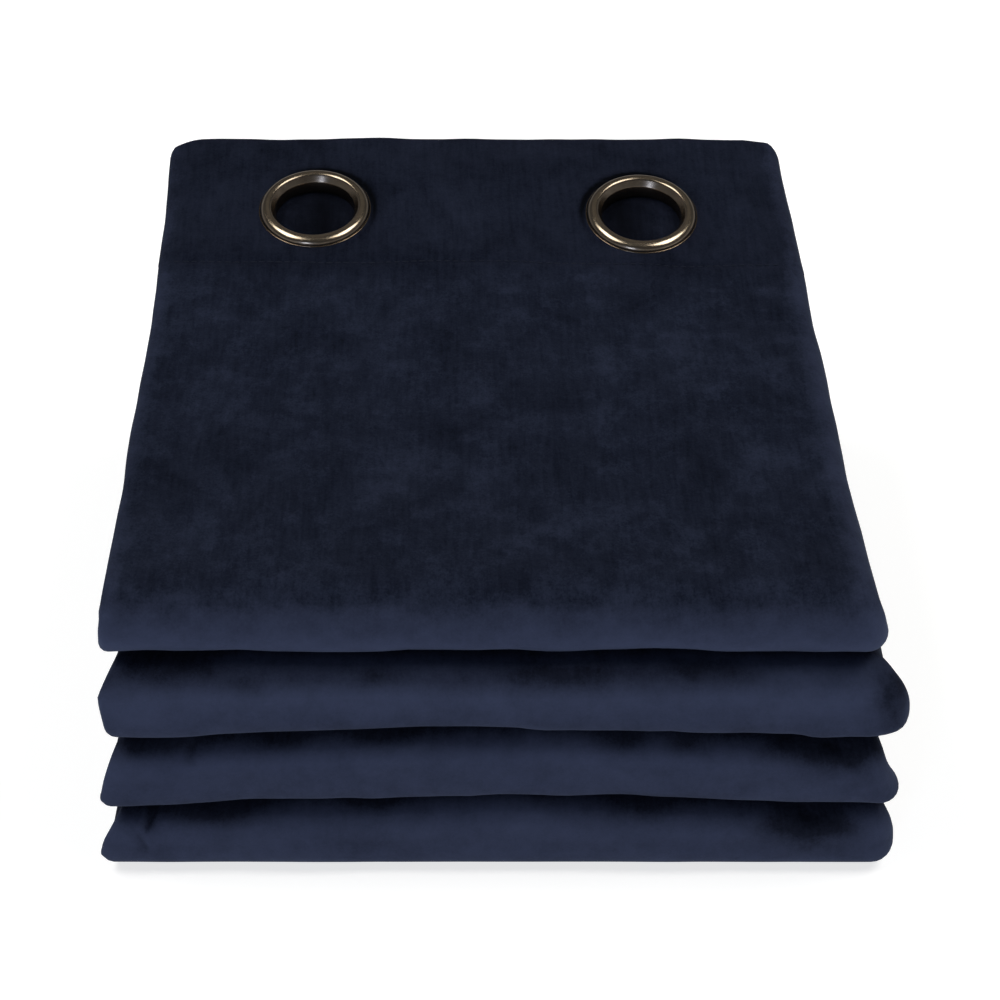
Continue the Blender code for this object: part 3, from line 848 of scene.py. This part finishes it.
# The velvet: a short dense pile, blue-black, mottled where it was brushed one way or the other,
# with fine streaks along the drop
# Painted light and shade: the open pile's colour paints lit fold fronts and sheen, the flat pile's
# colour paints shade in grooves, creases and round the rings
PILE_FLAT_AND_SHADED = (0.0008, 0.0011, 0.0022, 1.0)
PILE_DARK = (0.0031, 0.0042, 0.0085, 1.0)
PILE_LIGHT = (0.0142, 0.0177, 0.0325, 1.0)
PILE_OPEN_AND_LIT = (0.0370, 0.0465, 0.0865, 1.0)
PATCH_SCALE = 26.0
SMALL_PATCH_SCALE = 95.0
GRAIN_SCALE = 900.0
TUFT_SCALE = 380.0
STREAK_SCALE = 420.0
STREAK_STRETCH = (1.0, 0.10, 1.0)

# How strongly each noise shows, in the brushed tone and where a fold opens the pile, and how the
# stand of the pile turns into a tone, an open pile painted lit and a flat one painted in shade
Brushed = namedtuple("Brushed", "patches small streaks grain tufts")
BRUSHED = Brushed(1.15, 0.45, 0.75, 0.7, 0.3)
OpenedAndLit = namedtuple("OpenedAndLit", "patches small grain")
OPENED_AND_LIT = OpenedAndLit(0.30, 0.5, 0.25)
NAP_AND_LIGHT_TONE = 0.35
NAP_AND_LIGHT_OPENS = 0.75
NAP_AND_SHADE_FLATTENS = 1.7
FLAT_AND_SHADED_FROM = 1.1


def make_velvet():
    made, surface, shade = new_material("velvet")
    place = shade.node("ShaderNodeTexCoord", {}, {}, "Object")
    cloth_place = shade.node("ShaderNodeUVMap", {"uv_map": "cloth"}, {})
    patches = shade.node("ShaderNodeTexNoise", {}, {
        "Vector": cloth_place, "Scale": PATCH_SCALE, "Detail": 4.0, "Roughness": 0.62,
        "Distortion": 0.6})
    small = shade.node("ShaderNodeTexNoise", {}, {
        "Vector": place, "Scale": SMALL_PATCH_SCALE, "Detail": 3.0, "Roughness": 0.6})
    grain = shade.node("ShaderNodeTexNoise", {}, {
        "Vector": place, "Scale": GRAIN_SCALE, "Detail": 2.0, "Roughness": 0.7})
    tufts = shade.node("ShaderNodeTexNoise", {}, {
        "Vector": place, "Scale": TUFT_SCALE, "Detail": 2.0, "Roughness": 0.6})
    drawn_out = shade.node("ShaderNodeVectorMath", {"operation": "MULTIPLY"}, {
        0: cloth_place, 1: STREAK_STRETCH})
    streaks = shade.node("ShaderNodeTexNoise", {}, {
        "Vector": drawn_out, "Scale": STREAK_SCALE, "Detail": 3.0, "Roughness": 0.6})
    # The pile's stand together with its painted light and shade
    nap = shade.node("ShaderNodeAttribute", {"attribute_name": "nap"}, {}, "Fac")
    brushed = ((patches - 0.5) * BRUSHED.patches + (small - 0.5) * BRUSHED.small
               + (streaks - 0.5) * BRUSHED.streaks + (grain - 0.5) * BRUSHED.grain
               + (tufts - 0.5) * BRUSHED.tufts)
    tone = (brushed + 0.5 + nap * NAP_AND_LIGHT_TONE).clamped()
    # Painted light on the lit fronts of the folds
    opened_and_lit = (nap * NAP_AND_LIGHT_OPENS + (patches - 0.5) * OPENED_AND_LIT.patches + (small - 0.5) * OPENED_AND_LIT.small
              + (grain - 0.5) * OPENED_AND_LIT.grain).clamped()
    colour = mix_colours(shade, opened_and_lit, mix_colours(shade, tone, PILE_DARK, PILE_LIGHT), PILE_OPEN_AND_LIT)
    # Painted shade: the near-black colour of the flat pile
    flattened_and_shaded = (nap * -NAP_AND_SHADE_FLATTENS - FLAT_AND_SHADED_FROM).clamped()
    colour = mix_colours(shade, flattened_and_shaded, colour, PILE_FLAT_AND_SHADED)
    bump = shade.node("ShaderNodeBump", {}, {
        "Strength": 0.35, "Distance": 0.0004, "Height": grain * 0.7 + tufts * 0.8 + small * 1.2})
    tree = made.node_tree
    tree.links.new(colour.socket, surface.inputs["Base Color"])
    tree.links.new(bump.socket, surface.inputs["Normal"])
    surface.inputs["Roughness"].default_value = 0.9
    surface.inputs["Specular IOR Level"].default_value = 0.03
    surface.inputs["Sheen Weight"].default_value = 0.05
    surface.inputs["Sheen Roughness"].default_value = 0.35
    surface.inputs["Sheen Tint"].default_value = (0.62, 0.74, 1.0, 1.0)
    return made


cloth_points, cloth_quads, cloth_places, cloth_naps_and_painted_light = make_cloth()
cloth = mesh_object("cloth", cloth_points, cloth_quads)
layer = cloth.data.uv_layers.new(name="cloth")
corner_points = np.empty(len(cloth.data.loops), int)
cloth.data.loops.foreach_get("vertex_index", corner_points)
layer.data.foreach_set("uv", (cloth_places[corner_points] * MM).ravel())
# This attribute carries the pile's stand together with the painted light and shade
cloth.data.attributes.new("nap", "FLOAT", "POINT").data.foreach_set("value", cloth_naps_and_painted_light)
cloth.data.materials.append(make_velvet())
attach(cloth, "root")
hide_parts("curtain", "heading_band")


# The eyelets
# Two pressed metal rings in antique bronze: a crowned front ring whose barrel goes through the
# heading, and a flat washer on which the barrel's end is rolled over behind the cloth.
BORE_RADIUS = 21.1
METAL = 1.0
CROWN = 4.0
CREST_RADIUS = 24.9
INNER_ROLL = 2.2
FLANK_TILT = 56.0
FLANK_HOLD = 0.85
HOLLOW_WALL = 1.4
BEAD = 0.28
BEAD_RISE = 0.25
HEADING_THICKNESS = 4.0
BARREL_BELOW = 2.5
RING_STEPS = 120
CROWN_STEPS = 24
LIP_STEPS = 5
WASHER_RADIUS = 29.0
WASHER_THICKNESS = 2.0
WASHER_ROUNDING = 0.8
WASHER_GAP = 0.3
WASHER_SEAT = 0.5
POLISH_FROM = 0.4
POLISH_WIDTH = 2.0


def half_oval(centre, half_width, height, base, start, end, steps):
    """An arch over the ring's width, from one angle to another in degrees."""
    angles = np.radians(np.linspace(start, end, steps + 1))
    return [(centre + half_width * math.cos(a), base + height * math.sin(a)) for a in angles]


def turned_ring(name, profile, eyelet):
    """A closed profile (radius, height) turned once round the eyelet's axis."""
    centre, right, back, up = EYELET_FRAMES[eyelet.name]
    profile = np.array(profile)
    turns = 2 * math.pi * np.arange(RING_STEPS) / RING_STEPS
    out = np.cos(turns)[:, None] * right + np.sin(turns)[:, None] * back
    points = centre + out[:, None, :] * profile[None, :, :1] + up * profile[None, :, 1:]
    count, faces = len(profile), []
    for step in range(RING_STEPS):
        here, there = step * count, (step + 1) % RING_STEPS * count
        faces += quads_between(range(here, here + count), range(there, there + count))
    ring = mesh_object(name, points.reshape(-1, 3), faces)
    height = np.tile(profile[:, 1], RING_STEPS)
    radius = np.tile(profile[:, 0], RING_STEPS)
    polish = smoothstep(height, RING_SEAT + POLISH_FROM * CROWN, RING_SEAT + CROWN)
    polish *= smoothstep(radius, CREST_RADIUS - POLISH_WIDTH, CREST_RADIUS)
    ring.data.attributes.new("polish", "FLOAT", "POINT").data.foreach_set("value", polish)
    return ring


def front_ring_profile():
    """The beaded edge, the crown, its inner flank and the barrel, rolled out at its end."""
    centre, half = (RING_RADIUS + BORE_RADIUS) / 2, (RING_RADIUS - BORE_RADIUS) / 2
    crest, foot = RING_SEAT + CROWN, RING_SEAT + BEAD_RISE
    crown = half_oval(RING_RADIUS - BEAD, BEAD, BEAD, foot, 0.0, 180.0, 2 * LIP_STEPS)
    crown += half_oval(CREST_RADIUS, RING_RADIUS - 2 * BEAD - CREST_RADIUS, crest - foot, foot,
                       0.0, 90.0, CROWN_STEPS)[1:]
    crown += half_oval(CREST_RADIUS, INNER_ROLL, INNER_ROLL, crest - INNER_ROLL, 90.0,
                       90.0 + FLANK_TILT, CROWN_STEPS // 2)[1:]
    flank_width, flank_top = crown[-1][0] - BORE_RADIUS, crown[-1]
    for share in (FLANK_HOLD, 1.0):
        drop = share * flank_width * math.tan(math.radians(FLANK_TILT))
        crown.append((flank_top[0] - share * flank_width, flank_top[1] - drop))
    end = -(HEADING_THICKNESS + BARREL_BELOW)
    lip = [(BORE_RADIUS, end + METAL / 2)]
    lip += half_oval(BORE_RADIUS + METAL / 2, METAL / 2, METAL / 2, end + METAL / 2, 180.0, 360.0,
                     LIP_STEPS)
    hollow = half_oval(centre, half - HOLLOW_WALL, CROWN - HOLLOW_WALL, RING_SEAT, 180.0, 0.0,
                       CROWN_STEPS // 2)
    edge = half_oval(RING_RADIUS - BEAD, BEAD, BEAD, foot, 180.0, 360.0, 2 * LIP_STEPS)
    return crown + lip + hollow[:-1] + edge[:-1]


def washer_profile():
    top = -(HEADING_THICKNESS + RING_SEAT + WASHER_SEAT)
    bottom = top - WASHER_THICKNESS
    inner, round_edge = BORE_RADIUS + METAL + WASHER_GAP, WASHER_ROUNDING
    outer = half_oval(WASHER_RADIUS - round_edge, round_edge, round_edge, bottom + round_edge,
                      -90.0, 0.0, LIP_STEPS)
    return [(inner, top), (inner, bottom + round_edge), (inner + round_edge, bottom), *outer,
            (WASHER_RADIUS, top - round_edge / 2), (WASHER_RADIUS - round_edge, top)]


# Antique bronze: a dark brown plating, rubbed to a warmer and brighter metal on the crown
BRONZE_DARK = (0.135, 0.105, 0.082, 1.0)
BRONZE_BRIGHT = (0.400, 0.325, 0.238, 1.0)
CLOUD_SCALE = 160.0
SPECK_SCALE = 1400.0

# How worn the plating is: by the crown's polish, all over, in clouds and in specks
Wear = namedtuple("Wear", "polish all_over clouds specks")
WEAR = Wear(0.55, 0.22, 0.7, 0.12)
DULL_ROUGHNESS = 0.27
WORN_SMOOTHER = 0.08
SPECK_ROUGHER = 0.03


def make_bronze():
    made, surface, shade = new_material("bronze")
    place = shade.node("ShaderNodeTexCoord", {}, {}, "Object")
    cloudy = shade.node("ShaderNodeTexNoise", {}, {
        "Vector": place, "Scale": CLOUD_SCALE, "Detail": 3.0, "Roughness": 0.6})
    specks = shade.node("ShaderNodeTexNoise", {}, {
        "Vector": place, "Scale": SPECK_SCALE, "Detail": 2.0, "Roughness": 0.6})
    polish = shade.node("ShaderNodeAttribute", {"attribute_name": "polish"}, {}, "Fac")
    worn = (polish * WEAR.polish + WEAR.all_over + (cloudy - 0.5) * WEAR.clouds
            + (specks - 0.5) * WEAR.specks).clamped()
    colour = mix_colours(shade, worn, BRONZE_DARK, BRONZE_BRIGHT)
    roughness = (DULL_ROUGHNESS - worn * WORN_SMOOTHER
                 + (specks - 0.5) * SPECK_ROUGHER).clamped()
    bump = shade.node("ShaderNodeBump", {}, {
        "Strength": 0.04, "Distance": 0.0002, "Height": specks + cloudy * 1.5})
    tree = made.node_tree
    tree.links.new(colour.socket, surface.inputs["Base Color"])
    tree.links.new(roughness.socket, surface.inputs["Roughness"])
    tree.links.new(bump.socket, surface.inputs["Normal"])
    surface.inputs["Metallic"].default_value = 1.0
    return made


bronze = make_bronze()
for eyelet_row in EYELETS:
    for part_name, profile in (("front", front_ring_profile()), ("back", washer_profile())):
        ring = turned_ring(f"ring_{part_name}_{eyelet_row.name}", profile, eyelet_row)
        ring.data.materials.append(bronze)
        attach(ring, "root")
        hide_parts(f"eyelet_{part_name}_{eyelet_row.name}")


# The heading's seam
# One row of lockstitch in dark polyester thread, sewn through the heading's lower fold from one
# side to the other. Each stitch lies in the trough that it pulls into the pile.
STITCH_LENGTH = 3.3
STITCH_PITCH = 4.4
THREAD_WIDTH = 0.55
SEAM_POINTS = 120
SEAM_SIDE_INSET = 6.0
STITCH_SEED = 7
STITCH_LEAST = 0.88
STITCH_MOST = 1.1
STITCH_PROUD = 0.35
THREAD_DARK = (0.006, 0.008, 0.014, 1.0)
THREAD_LIGHT = (0.014, 0.018, 0.031, 1.0)


def seam_path():
    """Points along the seam, just proud of the trough's floor."""
    across = np.linspace(UPPER_FOLD + SEAM_SIDE_INSET, RIGHT_FOLD - SEAM_SIDE_INSET, SEAM_POINTS)
    y = np.full(SEAM_POINTS, SEAM_Y)
    face, wrong = (lay_heading(across, y, shift) for shift in (CLOTH / 2, -CLOTH / 2))
    face, wrong = finish_heading(face, wrong, across, y)
    return face + unit(face - wrong) * THREAD_WIDTH * STITCH_PROUD


def stitch_tree(thread_finish):
    """Stitches along a line of edges, each a little uneven."""
    tree = bpy.data.node_groups.new("stitches along a line", "GeometryNodeTree")
    sockets = {}
    tree.interface.new_socket("Geometry", in_out="INPUT", socket_type="NodeSocketGeometry")
    tree.interface.new_socket("Geometry", in_out="OUTPUT", socket_type="NodeSocketGeometry")
    for name in ("Stitch length", "Pitch", "Thread width"):
        sockets[name] = tree.interface.new_socket(
            name, in_out="INPUT", socket_type="NodeSocketFloat")
    into, out = tree.nodes.new("NodeGroupInput"), tree.nodes.new("NodeGroupOutput")

    def node(kind, settings, values):
        made = tree.nodes.new(kind)
        for name, value in settings.items():
            setattr(made, name, value)
        for key, value in values.items():
            if isinstance(value, bpy.types.NodeSocket):
                tree.links.new(value, made.inputs[key])
            else:
                made.inputs[key].default_value = value
        return made

    line = node("GeometryNodeMeshToCurve", {}, {"Mesh": into.outputs["Geometry"]})
    spots = node("GeometryNodeCurveToPoints", {"mode": "LENGTH"}, {
        "Curve": line.outputs["Curve"], "Length": into.outputs["Pitch"]})
    ball = node("GeometryNodeMeshUVSphere", {}, {"Segments": 8, "Rings": 6, "Radius": 0.5})
    shape = node("ShaderNodeCombineXYZ", {}, {
        "X": into.outputs["Thread width"], "Y": into.outputs["Thread width"],
        "Z": into.outputs["Stitch length"]})
    stitch = node("GeometryNodeTransform", {}, {
        "Geometry": ball.outputs["Mesh"], "Scale": shape.outputs["Vector"]})
    uneven = node("FunctionNodeRandomValue", {"data_type": "FLOAT"}, {
        "Min": STITCH_LEAST, "Max": STITCH_MOST, "Seed": STITCH_SEED})
    spread = node("GeometryNodeInstanceOnPoints", {}, {
        "Points": spots.outputs["Points"], "Instance": stitch.outputs["Geometry"],
        "Rotation": spots.outputs["Rotation"], "Scale": uneven.outputs["Value"]})
    real = node("GeometryNodeRealizeInstances", {}, {"Geometry": spread.outputs["Instances"]})
    finished = node("GeometryNodeSetMaterial", {}, {
        "Geometry": real.outputs["Geometry"], "Material": thread_finish})
    tree.links.new(finished.outputs["Geometry"], out.inputs["Geometry"])
    return tree, {name: socket.identifier for name, socket in sockets.items()}


def make_thread():
    made, surface, shade = new_material("sewing_thread")
    place = shade.node("ShaderNodeTexCoord", {}, {}, "Object")
    twist = shade.node("ShaderNodeTexNoise", {}, {"Vector": place, "Scale": 1500.0, "Detail": 2.0})
    colour = mix_colours(shade, twist, THREAD_DARK, THREAD_LIGHT)
    made.node_tree.links.new(colour.socket, surface.inputs["Base Color"])
    surface.inputs["Roughness"].default_value = 0.8
    surface.inputs["Specular IOR Level"].default_value = 0.1
    return made


def make_stitches():
    points = seam_path() * MM
    mesh = bpy.data.meshes.new("seam_line")
    mesh.from_pydata([tuple(p) for p in points], [(i, i + 1) for i in range(len(points) - 1)], [])
    line = bpy.data.objects.new("seam_line", mesh)
    bpy.context.scene.collection.objects.link(line)
    thread_finish = make_thread()
    tree, inputs = stitch_tree(thread_finish)
    modifier = line.modifiers.new("stitches", "NODES")
    modifier.node_group = tree
    modifier[inputs["Stitch length"]] = STITCH_LENGTH * MM
    modifier[inputs["Pitch"]] = STITCH_PITCH * MM
    modifier[inputs["Thread width"]] = THREAD_WIDTH * MM
    evaluated = line.evaluated_get(bpy.context.evaluated_depsgraph_get())
    made = bpy.data.meshes.new_from_object(evaluated)
    line.modifiers.remove(modifier)
    bpy.data.objects.remove(line, do_unlink=True)
    made.shade_smooth()
    piece = bpy.data.objects.new("heading_stitches", made)
    bpy.context.scene.collection.objects.link(piece)
    return piece


stitches = make_stitches()
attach(stitches, "root")


# The floor, the light and the camera
# A plain pale floor with a glow of its own, two large soft lights high on the left and right, a
# low cool one at the front left, a weak warm one high behind, and a surrounding that is pale near
# the horizon. The camera looks down at 42 degrees, as in the photograph.
FLOOR_DROP = 0.3
FLOOR_HALF_SIDE = 6000.0
FLOOR_COLOUR = (0.50, 0.50, 0.50, 1.0)
FLOOR_GLOW = 0.72
SURROUND_COLOUR = (0.93, 0.96, 1.0, 1.0)
SURROUND_STRENGTH = 0.07
HORIZON_STRENGTH = 0.55
HORIZON_HEIGHT = 0.42
CAMERA_PLACE = (1.8, -977.1, 973.9)
CAMERA_DOWN = 42.0
LENS = 90.0
SENSOR = 36.0

Light = namedtuple("Light", "name place width height power colour")
LIGHTS = [
    Light("left_light", (-1410.0, -60.0, 2640.0), 1700.0, 1150.0, 44.0, (1.0, 0.985, 0.95)),
    Light("right_light", (1410.0, -60.0, 2640.0), 1700.0, 1150.0, 44.0, (1.0, 0.985, 0.95)),
    Light("window_light", (-870.0, -2730.0, 860.0), 440.0, 700.0, 12.0, (0.56, 0.70, 1.0)),
    Light("back_panel", (0.0, 2463.0, 3152.0), 3000.0, 2000.0, 1.4, (1.0, 0.95, 0.88)),
]

reach = FLOOR_HALF_SIDE
floor = mesh_object("floor", [(-reach, -reach, -FLOOR_DROP), (reach, -reach, -FLOOR_DROP),
                              (reach, reach, -FLOOR_DROP), (-reach, reach, -FLOOR_DROP)],
                    [[0, 1, 2, 3]])
floor_finish, floor_surface, _ = new_material("floor")
floor_surface.inputs["Base Color"].default_value = FLOOR_COLOUR
floor_surface.inputs["Roughness"].default_value = 0.8
floor_surface.inputs["Emission Color"].default_value = (1.0, 1.0, 1.0, 1.0)
floor_surface.inputs["Emission Strength"].default_value = FLOOR_GLOW
floor.data.materials.append(floor_finish)

for row in LIGHTS:
    lamp = bpy.data.lights.new(row.name, "AREA")
    lamp.shape = "RECTANGLE"
    lamp.size, lamp.size_y = row.width * MM, row.height * MM
    lamp.energy = row.power
    lamp.color = row.colour
    lamp_object = bpy.data.objects.new(row.name, lamp)
    place = Vector(row.place) * MM
    lamp_object.matrix_world = (Matrix.Translation(place)
                                @ (-place).to_track_quat("-Z", "Y").to_matrix().to_4x4())
    bpy.context.scene.collection.objects.link(lamp_object)

world = bpy.data.worlds.new("surround")
world.use_nodes = True
surround = Shade(world.node_tree)
upwards = surround.node("ShaderNodeSeparateXYZ", {}, {
    "Vector": surround.node("ShaderNodeTexCoord", {}, {}, "Generated")}, "Z")
low = (1.0 - upwards * (1 / HORIZON_HEIGHT)).clamped()
strength = low * (HORIZON_STRENGTH - SURROUND_STRENGTH) + SURROUND_STRENGTH
background = world.node_tree.nodes["Background"]
background.inputs["Color"].default_value = SURROUND_COLOUR
world.node_tree.links.new(strength.socket, background.inputs["Strength"])
bpy.context.scene.world = world
bpy.context.scene.view_settings.view_transform = "Standard"

camera_data = bpy.data.cameras.new("camera")
camera_data.lens = LENS
camera_data.sensor_width = SENSOR
camera = bpy.data.objects.new("camera", camera_data)
camera.matrix_world = (Matrix.Translation(Vector(CAMERA_PLACE) * MM)
                       @ Matrix.Rotation(math.radians(90.0 - CAMERA_DOWN), 4, "X"))
bpy.context.scene.collection.objects.link(camera)
bpy.context.scene.camera = camera
